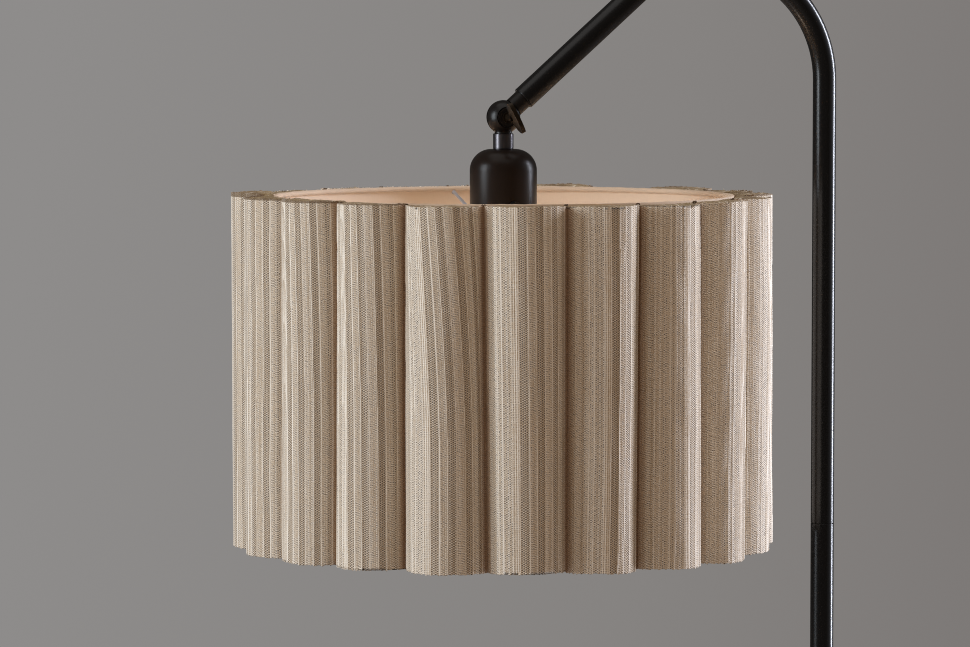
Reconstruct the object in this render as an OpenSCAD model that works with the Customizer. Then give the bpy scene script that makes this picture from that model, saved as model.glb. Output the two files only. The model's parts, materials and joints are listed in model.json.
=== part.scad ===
// Arc floor lamp: round weighted base, threaded steel pole, bent upper tube,
// ball knuckle with a wing screw, dome cup with a switched socket and a
// fluted fabric drum shade.
// Millimetres. +Z up. The pole axis is the Z axis and the floor is Z = 0.
// The arm lies in the XZ plane and reaches towards -X.

/* [Base] */
// Radius of the round base
base_r = 145; // [135:1:165]
// Height of the top face of the base above the floor
base_h = 22; // [20:0.5:28]
// Thickness of the non-slip pad under the base
pad_t = 2.5; // [2:0.5:3]
// Radius of the rounded upper edge of the base
base_edge = 7; // [4:0.5:9]

/* [Pole] */
// Outer radius of the steel tube
tube_r = 9.5; // [9.2:0.1:10.5]
// Wall thickness of the steel tube
tube_wall = 1.0; // [0.8:0.1:1.2]
// Height of the joint between the straight pole and the bent tube
joint_z = 1230; // [1000:5:1400]
// Height of the centre of the bend above that joint
bend_rise = 362; // [330:1:420]
// Radius of the bend, to the centre line of the tube
bend_r = 96; // [85:1:104]
// Slope of the straight arm below the horizontal, in degrees
arm_drop = 41.5; // [38:0.5:46]
// Reach from the pole axis to the shade axis
reach = 273; // [270:1:320]

/* [Knuckle] */
// Radius of the knuckle ball
ball_r = 13.5; // [13:0.1:15]
// Radius of the stem between the ball and the arm
stem_r = 8; // [7.2:0.1:8.4]
// Distance from the ball centre to the end of the arm tube
stem_len = 22; // [20:0.5:28]
// Length of the wing of the thumb screw
wing_len = 26; // [20:1:30]
// Thickness of the wing
wing_t = 3.2; // [2:0.1:4]
// Resting angle of the wing about the screw axis, in degrees
wing_rest = 117; // [0:1:180]

/* [Cup and socket] */
// Outer radius of the cup
cup_r = 26.75; // [26.5:0.05:30]
// Height of the cup
cup_h = 70; // [70:0.5:74]
// Radius of the shoulder of the cup
cup_edge = 17; // [10:0.5:17]
// Distance from the ball centre down to the top of the cup
cup_drop = 25.4; // [25.4:0.1:27]
// Radius of the switch knob
knob_r = 4; // [3.8:0.1:6]

/* [Shade] */
// Distance from the ball centre down to the top rim of the shade
rim_drop = 62; // [58:0.5:66]
// Height of the shade
shade_h = 279.4; // [240:0.1:320]
// Number of flutes round the shade
flutes = 20; // [18:1:20]
// Radius of the circle through the centres of the flutes
flute_circle = 184.5; // [184:0.5:187]
// Outer radius of one flute
flute_r = 31.5; // [31.5:0.1:33]
// Thickness of the woven cover
fabric_t = 1.0; // [0.8:0.1:1.4]
// Inner radius of the drum liner
liner_r = 183; // [180:0.5:183]

/* [Hidden] */
$fn = 96;

bronze = [0.13, 0.115, 0.11];
steel = [0.62, 0.62, 0.63];
brass = [0.72, 0.58, 0.30];
oatmeal = [0.80, 0.75, 0.67];

bore_r = tube_r - tube_wall;        // inside of the tube
stud_r = 5;                         // M10 threaded tube
wire_r = 3.5;                       // wire way through the threaded tubes
weight_z0 = pad_t + 0.5;
cover_t = 1.5;
weight_z1 = base_h - cover_t;
section = (joint_z - base_h) / 2;   // length of each straight section
joint1_z = base_h + section;
bend_z = joint_z + bend_rise;
turn = 90 + arm_drop;
arm_end_x = -bend_r + bend_r * cos(turn);
arm_len = (reach + arm_end_x) / cos(arm_drop);   // end of the bend to the ball centre
ball_z = bend_z + bend_r * sin(turn) - arm_len * sin(arm_drop);
half_gap = 0.6;                     // from the middle plane to each half ball
rim = -rim_drop;                    // top rim, measured from the ball centre
hem = rim - shade_h;
hub_z = rim - 36;                   // spider hub
pitch_a = 360 / flutes;
knob_z = -70;
former_r = flute_r - fabric_t - 0.05;
former_t = 1.5;
liner_t = 0.8;
former_in = liner_r + liner_t + 0.1;
flute_a0 = 95.7;                    // first flute, measured from +X

// ---------- helpers ----------
module head_frame() translate([-reach, 0, ball_z]) children();
module arm_frame() translate([-reach, 0, ball_z]) rotate([0, 90 - arm_drop, 0]) children();

// Tube with small chamfers on its outer ends
module pipe(ro, ri, z0, z1, c = 0.4)
  rotate_extrude() polygon([[ri, z0], [ro - c, z0], [ro, z0 + c], [ro, z1 - c], [ro - c, z1], [ri, z1]]);

module ring(ro, ri, z0, z1)
  difference() {
    translate([0, 0, z0]) cylinder(r = ro, h = z1 - z0);
    translate([0, 0, z0 - 1]) cylinder(r = ri, h = z1 - z0 + 2);
  }

// Outline points of a ridged thread, from z0 up to z1
function ridges(r, d, z0, z1, p) =
  let (n = floor((z1 - z0) / p), q = (z1 - z0) / n)
  [for (i = [0 : n - 1]) each [[r - d, z0 + i * q], [r, z0 + (i + 0.5) * q]]];

// Hollow threaded tube
module nipple(r, ri, z0, z1, p = 1.5)
  rotate_extrude() polygon(concat([[ri, z0]], ridges(r, 0.45, z0, z1, p), [[r - 0.45, z1], [ri, z1]]));

// Hexagonal nut
module hex_nut(af, ri, z0, z1)
  difference() {
    translate([0, 0, z0]) cylinder(r = af / sqrt(3), h = z1 - z0, $fn = 6);
    translate([0, 0, z0 - 1]) cylinder(r = ri, h = z1 - z0 + 2);
  }

// Half of a ball: side +1 is the half towards +Y
module half_ball(side, r, gap)
  intersection() {
    sphere(r = r);
    translate([-50, side > 0 ? gap : -100 - gap, -50]) cube([100, 100, 100]);
  }

// Round solid on the Y axis, from y0 to y1
module on_y(r, y0, y1) translate([0, y1, 0]) rotate([90, 0, 0]) cylinder(r = r, h = y1 - y0);

// ---------- base ----------
module base_profile(off) {
  // low round pan, open below, inset by off
  difference() {
    union() {
      square([base_r - base_edge, base_h - off]);
      square([base_r - off, base_h - base_edge]);
      translate([base_r - base_edge, base_h - base_edge]) circle(r = base_edge - off);
    }
    translate([-50, -50]) square([50, 200]);
    translate([-50, -50]) square([300, 50 + pad_t + 0.3]);
  }
}

module base_cover() {
  color(bronze)
  difference() {
    rotate_extrude() difference() {
      base_profile(0);
      base_profile(cover_t);
      translate([-1, -1]) square([base_r - cover_t + 1, pad_t + 1.5]);
    }
    translate([0, 0, -1]) cylinder(r = stud_r + 0.2, h = base_h + 5);
    translate([base_r - 20, 0, weight_z0 + 7]) rotate([0, 90, 0]) cylinder(r = 5.6, h = 40);
  }
}

module base_weight() {
  color([0.25, 0.25, 0.26])
  difference() {
    union() {
      translate([0, 0, weight_z1 - 9]) cylinder(r = base_r - 10, h = 9);
      ring(base_r - 10, base_r - 36, weight_z0, weight_z1 - 8.5);
      ring(34, 20, weight_z0 + 4, weight_z1 - 8.5);
      for (a = [0 : 60 : 300])
        rotate([0, 0, a + 30]) translate([30, -4, weight_z0 + 2])
          cube([base_r - 55, 8, weight_z1 - 10 - weight_z0]);
    }
    translate([0, 0, -1]) cylinder(r = stud_r + 0.2, h = base_h + 5);
    // channel for the lead, from the middle to the rear edge
    translate([10, -5, weight_z0 - 1]) cube([base_r, 10, 12.5]);
  }
}

module base_pad() color([0.08, 0.08, 0.08]) cylinder(r = base_r - 3, h = pad_t);

module base_stud() color(steel) nipple(stud_r, wire_r, weight_z0, base_h + 22);

module base_washer() color(steel) ring(16, stud_r + 0.2, weight_z1 - 11, weight_z1 - 9);

module base_nut() color(steel) hex_nut(17, stud_r, weight_z1 - 16, weight_z1 - 11);

module pole_collar() {
  color(bronze)
  rotate_extrude() difference() {
    union() {
      translate([tube_r + 0.05, base_h]) square([15, 3]);
      translate([tube_r + 0.05, base_h + 3]) square([2.2, 15]);
      translate([tube_r + 0.05, base_h + 3]) square([12, 8]);
    }
    translate([tube_r + 14.25, base_h + 15]) circle(r = 12);
  }
}

module cord_bushing() {
  color([0.1, 0.1, 0.1])
  translate([base_r, 0, weight_z0 + 7]) rotate([0, 90, 0])
  rotate_extrude() polygon([[wire_r, -9], [5.5, -9], [5.5, 0.1], [7, 0.1], [7, 1.2],
    [5.4, 4.4], [4.6, 4.9], [wire_r, 4.9]]);
}

// ---------- pole ----------
module lower_pole() color(bronze) pipe(tube_r, bore_r, base_h, joint1_z);

// Threaded insert pressed into the end of a tube
module insert(z0, z1) ring(bore_r, stud_r, z0, z1);

module lower_pole_insert() color(steel) insert(base_h, base_h + 24);

module lower_joint_stud() {
  color(steel) {
    ring(bore_r, wire_r, joint1_z - 20, joint1_z);
    nipple(stud_r, wire_r, joint1_z, joint1_z + 16);
  }
}

module middle_pole() color(bronze) pipe(tube_r, bore_r, joint1_z, joint_z);

module middle_pole_insert() color(steel) insert(joint1_z, joint1_z + 20);

module upper_joint_stud() {
  color(steel) {
    ring(bore_r, wire_r, joint_z - 20, joint_z);
    nipple(stud_r, wire_r, joint_z, joint_z + 16);
  }
}

// Upright leg and bend as one run of radius r
module bend_run(r, z0) {
  translate([0, 0, z0]) cylinder(r = r, h = bend_z - z0);
  translate([-bend_r, 0, bend_z]) rotate([90, 0, 0])
    rotate_extrude(angle = turn) translate([bend_r, 0]) circle(r = r);
}

// Frame at the end of the bend, +Z down the straight arm
module bend_end_frame()
  translate([-bend_r, 0, bend_z]) rotate([0, -turn, 0]) translate([bend_r, 0, 0]) children();

module bent_arm() {
  color(bronze) {
    difference() {
      bend_run(tube_r, joint_z);
      bend_run(bore_r, joint_z - 1);
      rotate_extrude() polygon([[tube_r - 0.4, joint_z - 0.1], [tube_r + 1, joint_z - 0.1],
        [tube_r + 1, joint_z + 1.4], [tube_r - 0.4, joint_z]]);
    }
    bend_end_frame() {
      rotate_extrude() polygon([[bore_r, 0.02], [tube_r, 0.02], [tube_r, arm_len - stem_len - 0.5],
        [tube_r - 0.5, arm_len - stem_len], [bore_r, arm_len - stem_len]]);
      // key inside the wall that makes the arm one piece with the bend
      ring(tube_r - 0.3, bore_r + 0.3, -1, 1);
    }
  }
}

module bent_arm_insert() color(steel) insert(joint_z, joint_z + 20);

module arm_end_insert() color(steel) arm_frame() insert(stem_len, stem_len + 16);

// ---------- knuckle ----------
module knuckle_arm_half() {
  color(bronze)
  difference() {
    union() {
      head_frame() half_ball(1, ball_r, half_gap);
      difference() {
        arm_frame() {
          translate([0, 0, 5]) cylinder(r = stem_r, h = stem_len - 5);
          translate([0, 0, stem_len - 1]) cylinder(r = stud_r, h = 14);
        }
        // room for the other half to turn
        head_frame() half_ball(-1, ball_r + 0.4, -half_gap);
      }
    }
    head_frame() {
      on_y(2.55, -1, 10.2);        // thread of the thumb screw
      on_y(7.2, -1, 3.6);          // wire pocket round the screw
    }
    arm_frame() translate([0, 0, 4]) cylinder(r = 3, h = stem_len + 20);
  }
}

module knuckle_head_half() {
  color(bronze)
  head_frame()
  difference() {
    union() {
      half_ball(-1, ball_r, half_gap);
      difference() {
        translate([0, 0, -20]) cylinder(r = 6.95, h = 16);
        half_ball(1, ball_r + 0.4, -half_gap);
      }
    }
    on_y(2.55, -30, 1);
    on_y(7.2, -3.6, 1);
    on_y(8.4, -30, -9.8);          // seat of the clamp washer
    translate([0, 0, -30]) cylinder(r = 3, h = 26);
    translate([0, 0, -30]) cylinder(r = stud_r, h = 14);
  }
}

module knuckle_friction_washer() {
  color([0.2, 0.2, 0.2])
  head_frame() difference() {
    on_y(12.2, -0.4, half_gap);
    on_y(8, -2, 2);
  }
}

module screw_washer() {
  color(bronze)
  head_frame() difference() {
    on_y(7.5, -12, -9.8);
    on_y(2.7, -14, -8);
  }
}

// Outline of the wing: shallow outer edge, deep curve towards the ball
function wing_outline() =
  [for (a = [0 : 7.5 : 352.5]) [wing_len / 2 * cos(a), (sin(a) > 0 ? 4 : 12.5) * sin(a)]];

module thumb_screw() {
  color(bronze)
  head_frame() {
    on_y(2.5, -13, 9);
    on_y(4.3, -13.6, -12.1);
    on_y(2.9, -28, -13);
    rotate([90, 0, 0]) rotate([0, 0, wing_rest])
      rotate([90, 0, 0]) translate([0, 36.5, -wing_t / 2])
        linear_extrude(height = wing_t) polygon(wing_outline());
  }
}

// ---------- neck and cup ----------
module neck_sleeve() color([0.3, 0.3, 0.32]) head_frame() pipe(8.15, 7, -cup_drop, -13, 0.5);

module head_nipple() color(steel) head_frame() nipple(stud_r, wire_r, -46, -16.5, 1.475);

module cup_profile(off) {
  difference() {
    union() {
      translate([0, -cup_drop - cup_edge]) square([cup_r - cup_edge, cup_edge - off]);
      translate([0, -cup_drop - cup_h - 5]) square([cup_r - off, cup_h - cup_edge + 5]);
      translate([cup_r - cup_edge, -cup_drop - cup_edge]) circle(r = cup_edge - off);
    }
    translate([-100, -150]) square([100, 200]);
    translate([-100, -cup_drop - cup_h - 30]) square([200, 30]);
  }
}

module socket_cup() {
  color(bronze)
  head_frame() difference() {
    rotate_extrude() difference() {
      cup_profile(0);
      cup_profile(1.2);
      translate([-1, -cup_drop - cup_h - 1]) square([cup_r - 0.2, 1.2]);
    }
    translate([0, 0, -40]) cylinder(r = stud_r + 0.2, h = 30);
    translate([0, 0, knob_z]) on_y(3.3, -cup_r - 5, -10);
  }
}

module cup_lock_washer() color(steel) head_frame() ring(9, stud_r + 0.1, -cup_drop - 2.4, -cup_drop - 1.2);

module cup_lock_nut() color(steel) head_frame() hex_nut(14, stud_r, -cup_drop - 7, -cup_drop - 2.4);

// ---------- socket ----------
module socket_cap() {
  color([0.12, 0.12, 0.12])
  head_frame() rotate_extrude() difference() {
    union() {
      translate([stud_r, -46]) square([4, 10]);
      translate([0, -54]) square([20.5, 8]);
      intersection() {
        translate([0, -58]) circle(r = 24);
        translate([0, -46.5]) square([20.5, 5]);
      }
    }
    translate([-10, -70]) square([10 + stud_r, 60]);
    translate([0, -55]) square([18.5, 6]);
  }
}

module socket_body() {
  color([0.1, 0.1, 0.1])
  head_frame() difference() {
    rotate_extrude() union() {
      translate([16, -96]) square([5, 42]);              // upper barrel with the spider shoulder
      polygon(concat([[16, -106]], ridges(19.5, 0.5, -106, -96, 2), [[19, -95.5], [16, -95.5]]));
      translate([2.4, -80]) square([14, 3]);             // floor above the screw shell
    }
    translate([0, 0, knob_z]) on_y(3.05, -30, -10);
  }
}

module socket_screw_shell() {
  color(brass)
  head_frame() rotate_extrude() polygon(concat([[14.4, -80], [14.4, -103]],
    [for (i = [0 : 6]) each [[13.55, -103 + 3.3 * i], [13.95, -101.35 + 3.3 * i]]],
    [[13.55, -80]]));
}

module socket_contact() {
  color(brass)
  head_frame() {
    translate([0, 0, -80.6]) cylinder(r = 2.2, h = 4.6);
    translate([-7, -3, -81.4]) cube([14, 6, 0.8]);
  }
}

module socket_ring() {
  color([0.12, 0.12, 0.12])
  head_frame() difference() {
    rotate_extrude() translate([0, hub_z]) polygon([[19.55, -6], [23.6, -6], [24.4, -5.2], [24.4, 0], [19.55, 0]]);
    for (a = [0 : 15 : 345])
      rotate([0, 0, a]) translate([24.9, 0, hub_z - 7]) cylinder(r = 0.9, h = 8, $fn = 24);
  }
}

module switch_bushing() color(brass) head_frame() translate([0, 0, knob_z]) difference() {
  union() { on_y(3, -cup_r - 0.3, -13); on_y(5.5, -14.6, -12); }
  on_y(1.55, -40, -5);
}

module switch_spindle() color(brass) head_frame() translate([0, 0, knob_z]) {
  on_y(1.5, -cup_r - 6, -6);
  difference() {                       // four-lobed cam of the rotary switch
    on_y(5, -11.6, -6);
    for (a = [45 : 90 : 315]) rotate([0, a, 0]) translate([6.4, 0, 0]) on_y(3, -12, -5);
  }
}

module switch_knob() {
  color([0.05, 0.05, 0.05])
  head_frame() translate([0, 0, knob_z]) difference() {
    union() { on_y(knob_r, -cup_r - 7.4, -cup_r - 1.2); on_y(knob_r - 0.6, -cup_r - 8.2, -cup_r - 7.4); }
    on_y(1.5, -cup_r - 6, 0);
    for (a = [0 : 20 : 340])
      rotate([0, a, 0]) translate([knob_r + 0.3, -cup_r - 1, 0]) rotate([90, 0, 0]) cylinder(r = 0.55, h = 9, $fn = 16);
  }
}

// ---------- shade ----------
module flute(a) rotate([0, 0, a]) translate([flute_circle, 0]) children();

// Section of one flute between its neighbours, radius r, inset by e from the dividing planes
module flute_section(r, e)
  intersection() {
    translate([flute_circle, 0]) circle(r = r);
    polygon([[e / sin(pitch_a / 2), 0],
      [e / sin(pitch_a / 2) + 300 * cos(pitch_a / 2), 300 * sin(pitch_a / 2)],
      [e / sin(pitch_a / 2) + 300 * cos(pitch_a / 2), -300 * sin(pitch_a / 2)]]);
  }

module shade_spider() {
  color(steel)
  head_frame() {
    translate([0, 0, rim - 1.8]) rotate_extrude() translate([liner_r - 1.55, 0]) circle(r = 1.5, $fn = 32);
    ring(26.5, 19.6, hub_z, hub_z + 2);
    for (a = [86.3, 206.3, 326.3])
      rotate([0, 0, a]) {
        // sloping wire from the hub to the top ring
        let (x0 = 25.2, z0 = hub_z + 0.4, x1 = liner_r - 1.6, z1 = rim - 4,
             l = sqrt(pow(x1 - x0, 2) + pow(z1 - z0, 2)))
          translate([x0, 0, z0]) rotate([0, atan2(x1 - x0, z1 - z0), 0]) cylinder(r = 1.3, h = l, $fn = 32);
        translate([liner_r - 1.6, 0, rim - 5.2]) cylinder(r = 1.3, h = 3.4, $fn = 32);
        translate([liner_r - 1.6, 0, rim - 5.2]) sphere(r = 1.3, $fn = 32);
      }
  }
}

module shade_bottom_ring()
  color(steel) head_frame() translate([0, 0, hem + 1.8]) rotate_extrude() translate([liner_r - 1.55, 0]) circle(r = 1.5, $fn = 32);

module shade_liner() color([0.93, 0.88, 0.8]) head_frame() ring(liner_r + liner_t, liner_r, hem, rim);

module flute_formers() {
  color([0.55, 0.45, 0.32])
  head_frame() translate([0, 0, hem + 0.4])
  for (i = [0 : flutes - 1])
    rotate([0, 0, flute_a0 + i * pitch_a])
    linear_extrude(height = shade_h - 0.8) difference() {
      flute_section(former_r, 0.05);
      flute_section(former_r - former_t, 0.05 + former_t);
      circle(r = former_in, $fn = 192);
    }
}

module flute_end_caps() {
  color([0.6, 0.5, 0.36])
  head_frame() for (z = [hem + 0.6, rim - 2.1])
    translate([0, 0, z])
    for (i = [0 : flutes - 1])
      rotate([0, 0, flute_a0 + i * pitch_a])
      linear_extrude(height = 1.5) difference() {
        flute_section(former_r - former_t - 0.05, 0.1 + former_t);
        circle(r = former_in, $fn = 192);
      }
}

module shade_fabric() {
  color(oatmeal)
  head_frame() translate([0, 0, hem]) linear_extrude(height = shade_h) difference() {
    union() {
      circle(r = flute_circle + 4);
      for (i = [0 : flutes - 1]) rotate([0, 0, flute_a0 + i * pitch_a]) translate([flute_circle, 0]) circle(r = flute_r);
    }
    circle(r = flute_circle + 4.5);
    for (i = [0 : flutes - 1]) rotate([0, 0, flute_a0 + i * pitch_a]) translate([flute_circle, 0]) circle(r = flute_r - fabric_t);
  }
}

// ---------- bulb ----------
// Glass outline: round bowl of radius r, tangent cone, neck of radius n, collar of radius c
module bulb_neck(r, n, c, top) {
  t = [r * cos(30), r * sin(30)];
  rotate_extrude() polygon([[0, top], [c, top], [c, 52.8], [n, 51.4],
    [n, t[1] + (t[0] - n) / tan(30)], t, [0, 0.4 * r]]);
}

module bulb_globe() {
  color([1, 0.95, 0.85])
  head_frame() translate([0, 0, -161]) difference() {
    union() { sphere(r = 30); bulb_neck(30, 13.2, 12.1, 61); }
    union() { sphere(r = 29); bulb_neck(29, 12.2, 11.1, 62); }
  }
}

module bulb_cap() {
  color([0.8, 0.8, 0.8])
  head_frame() rotate_extrude() polygon(concat([[12.2, -108], [13.3, -108], [13.3, -106.2]],
    [for (i = [0 : 5]) each [[12.9, -105 + 3.3 * i], [13.3, -103.35 + 3.3 * i]]],
    [[12.5, -85.4], [8, -83], [8, -84], [12.0, -86.2], [12.2, -87]]));
}

module bulb_insulator() color([0.1, 0.1, 0.12]) head_frame() rotate_extrude()
  polygon([[2.5, -83], [8, -83], [3.6, -81.9], [2.5, -81.9]]);

module bulb_contact() color(steel) head_frame() translate([0, 0, -83.2]) cylinder(r = 2.5, h = 1.75);

base_cover();
base_weight();
base_pad();
base_stud();
base_washer();
base_nut();
pole_collar();
cord_bushing();
lower_pole();
lower_pole_insert();
lower_joint_stud();
middle_pole();
middle_pole_insert();
upper_joint_stud();
bent_arm();
bent_arm_insert();
arm_end_insert();
knuckle_arm_half();
knuckle_head_half();
knuckle_friction_washer();
screw_washer();
thumb_screw();
neck_sleeve();
head_nipple();
cup_lock_washer();
cup_lock_nut();
socket_cup();
socket_cap();
socket_body();
socket_screw_shell();
socket_contact();
socket_ring();
switch_bushing();
switch_spindle();
switch_knob();
shade_spider();
shade_bottom_ring();
shade_liner();
flute_formers();
flute_end_caps();
shade_fabric();
bulb_globe();
bulb_cap();
bulb_insulator();
bulb_contact();
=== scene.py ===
"""Arc floor lamp with a fluted woven drum shade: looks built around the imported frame."""

import json
import math

import bpy
import numpy as np
from mathutils import Matrix, Vector


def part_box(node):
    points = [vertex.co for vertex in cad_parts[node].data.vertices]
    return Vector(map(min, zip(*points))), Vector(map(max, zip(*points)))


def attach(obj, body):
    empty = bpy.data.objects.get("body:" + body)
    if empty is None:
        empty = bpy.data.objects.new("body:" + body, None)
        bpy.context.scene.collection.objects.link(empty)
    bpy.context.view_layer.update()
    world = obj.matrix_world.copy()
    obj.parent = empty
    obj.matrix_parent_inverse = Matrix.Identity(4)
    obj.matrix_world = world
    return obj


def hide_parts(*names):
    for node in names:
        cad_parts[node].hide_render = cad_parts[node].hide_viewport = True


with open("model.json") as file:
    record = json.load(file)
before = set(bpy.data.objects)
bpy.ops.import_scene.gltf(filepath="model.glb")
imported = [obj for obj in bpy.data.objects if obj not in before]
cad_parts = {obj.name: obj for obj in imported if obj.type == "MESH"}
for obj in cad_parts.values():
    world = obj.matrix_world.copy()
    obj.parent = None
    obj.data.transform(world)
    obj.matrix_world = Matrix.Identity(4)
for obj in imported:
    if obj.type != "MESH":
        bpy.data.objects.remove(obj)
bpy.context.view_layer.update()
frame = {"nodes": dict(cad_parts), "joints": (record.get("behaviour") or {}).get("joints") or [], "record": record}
scene = bpy.context.scene
rng = np.random.default_rng(41)
MM = 0.001

# ------------------------------------------------------------------ places from the frame
joints = {j["name"]: j for j in frame["joints"]}
HX, HY, HZ = joints["head_tilt"]["pos_m"]
fab_lo, fab_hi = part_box("shade_fabric")
lin_lo, lin_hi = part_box("shade_liner")
RIM, HEM = fab_hi.z, fab_lo.z
LINER_R = (lin_hi.x - lin_lo.x) / 2 - 0.8 * MM
NF = 20
FLUTE_A0 = 5.7          # degrees from +X, then every 18 degrees
RC, RF = 184.5, 31.5    # flute circle and flute radius, mm


# ------------------------------------------------------------------ helpers
def mesh_object(name, verts, faces, material=None, smooth=True, uv=None, loop=True):
    me = bpy.data.meshes.new(name)
    verts = np.asarray(verts, np.float32).reshape(-1, 3)
    faces = np.asarray(faces, np.int32)
    n = faces.shape[1]
    me.vertices.add(len(verts))
    me.vertices.foreach_set("co", verts.ravel())
    me.loops.add(faces.size)
    me.loops.foreach_set("vertex_index", faces.ravel())
    me.polygons.add(len(faces))
    me.polygons.foreach_set("loop_start", np.arange(0, faces.size, n, dtype=np.int32))
    if uv is not None:
        layer = me.uv_layers.new(name="weave")
        layer.data.foreach_set("uv", np.asarray(uv, np.float32)[faces.ravel()].ravel())
    me.update(calc_edges=True)
    me.validate()
    me.polygons.foreach_set("use_smooth", np.full(len(me.polygons), smooth))
    if material:
        me.materials.append(material)
    ob = bpy.data.objects.new(name, me)
    scene.collection.objects.link(ob)
    return ob


def grid_faces(nu, nv, close_u=False, close_v=False):
    """Quads of a grid whose point (i, j) is i * nv + j."""
    iu = np.arange(nu if close_u else nu - 1)
    iv = np.arange(nv if close_v else nv - 1)
    a, b = np.meshgrid(iu, iv, indexing="ij")
    a2, b2 = (a + 1) % nu, (b + 1) % nv
    return np.stack([a * nv + b, a2 * nv + b, a2 * nv + b2, a * nv + b2], -1).reshape(-1, 4)


class Nodes:
    """Small shorthand for building a material's nodes."""

    def __init__(self, name):
        self.m = bpy.data.materials.new(name)
        self.m.use_nodes = True
        self.t = self.m.node_tree
        self.t.nodes.clear()
        self.out = self.t.nodes.new("ShaderNodeOutputMaterial")
        self.bsdf = self.t.nodes.new("ShaderNodeBsdfPrincipled")
        self.t.links.new(self.bsdf.outputs[0], self.out.inputs[0])

    def put(self, node, key, value):
        if isinstance(value, bpy.types.NodeSocket):
            self.t.links.new(value, node.inputs[key])
        elif value is not None:
            node.inputs[key].default_value = value

    def set(self, **kw):
        for k, v in kw.items():
            self.put(self.bsdf, k.replace("_", " "), v)

    def math(self, op, a, b=None, c=None, clamp=False):
        n = self.t.nodes.new("ShaderNodeMath")
        n.operation = op
        n.use_clamp = clamp
        for i, v in enumerate((a, b, c)):
            self.put(n, i, v)
        return n.outputs[0]

    def mix(self, f, a, b, mode="MIX"):
        n = self.t.nodes.new("ShaderNodeMix")
        n.data_type = "RGBA"
        n.blend_type = mode
        self.put(n, 0, f)
        self.put(n, 6, a)
        self.put(n, 7, b)
        return n.outputs[2]

    def noise(self, vec, scale, detail=3.0, rough=0.5):
        n = self.t.nodes.new("ShaderNodeTexNoise")
        self.put(n, "Vector", vec)
        self.put(n, "Scale", scale)
        self.put(n, "Detail", detail)
        self.put(n, "Roughness", rough)
        return n.outputs["Fac"]

    def ramp(self, fac, stops, mode="LINEAR"):
        n = self.t.nodes.new("ShaderNodeValToRGB")
        n.color_ramp.interpolation = mode
        els = n.color_ramp.elements
        while len(els) < len(stops):
            els.new(0.5)
        for e, (p, c) in zip(els, stops):
            e.position = p
            e.color = c if len(c) == 4 else (*c, 1)
        self.put(n, 0, fac)
        return n.outputs[0]

    def coord(self, kind="Object"):
        return self.t.nodes.new("ShaderNodeTexCoord").outputs[kind]

    def uv(self, name="weave"):
        n = self.t.nodes.new("ShaderNodeUVMap")
        n.uv_map = name
        return n.outputs[0]

    def attr(self, name):
        n = self.t.nodes.new("ShaderNodeAttribute")
        n.attribute_name = name
        return n

    def split(self, vec):
        n = self.t.nodes.new("ShaderNodeSeparateXYZ")
        self.put(n, 0, vec)
        return n.outputs

    def join(self, x, y, z):
        n = self.t.nodes.new("ShaderNodeCombineXYZ")
        for i, v in enumerate((x, y, z)):
            self.put(n, i, v)
        return n.outputs[0]

    def scale(self, vec, s):
        n = self.t.nodes.new("ShaderNodeMapping")
        n.inputs["Scale"].default_value = s
        self.put(n, 0, vec)
        return n.outputs[0]

    def bump(self, height, strength=1.0, distance=0.001, normal=None):
        n = self.t.nodes.new("ShaderNodeBump")
        self.put(n, "Height", height)
        self.put(n, "Strength", strength)
        self.put(n, "Distance", distance)
        if normal is not None:
            self.put(n, "Normal", normal)
        return n.outputs[0]


def srgb(r, g, b):
    f = lambda c: (c / 255) / 12.92 if c <= 10 else (((c / 255) + 0.055) / 1.055) ** 2.4
    return (f(r), f(g), f(b), 1.0)


# ------------------------------------------------------------------ materials
def satin_tube(name, base, rough, spec):
    """Smooth satin lacquer: faint cloudy patches in colour and sheen."""
    n = Nodes(name)
    co = n.coord()
    patch = n.noise(co, 14, 2.0, 0.5)
    n.set(Base_Color=n.mix(patch, tuple(c * 0.85 for c in base[:3]) + (1,), tuple(c * 1.2 for c in base[:3]) + (1,)),
          Roughness=n.math("MULTIPLY_ADD", patch, 0.03, rough - 0.015))
    n.bsdf.inputs["Specular IOR Level"].default_value = spec
    return n.m


def metal_paint(name, base, rough, speck=0.35, metallic=0.0, coat=0.0, peel=900, peel_d=0.00005, spec=0.3):
    """Satin powder coat: fine orange peel, faint rubbed patches and dust."""
    n = Nodes(name)
    co = n.coord()
    peel_n = n.noise(co, peel, 2.0, 0.6)
    patch = n.noise(co, 26, 4.0, 0.6)
    fleck = n.ramp(n.noise(co, 2600, 1.0, 0.5), [(0.56, (0, 0, 0)), (0.72, (1, 1, 1))])
    dark = tuple(c * 0.8 for c in base[:3]) + (1,)
    light = tuple(min(1, c * 1.25) for c in base[:3]) + (1,)
    col = n.mix(patch, dark, light)
    col = n.mix(n.math("MULTIPLY", fleck, speck), col, tuple(min(1, c * 3.2 + 0.01) for c in base[:3]) + (1,))
    r = n.math("MULTIPLY_ADD", patch, 0.03, rough - 0.015)
    n.set(Base_Color=col, Roughness=r, Metallic=metallic, Normal=n.bump(peel_n, 0.5, peel_d))
    n.bsdf.inputs["Coat Weight"].default_value = coat
    n.bsdf.inputs["Coat Roughness"].default_value = 0.12
    n.bsdf.inputs["Specular IOR Level"].default_value = spec
    return n.m


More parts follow.
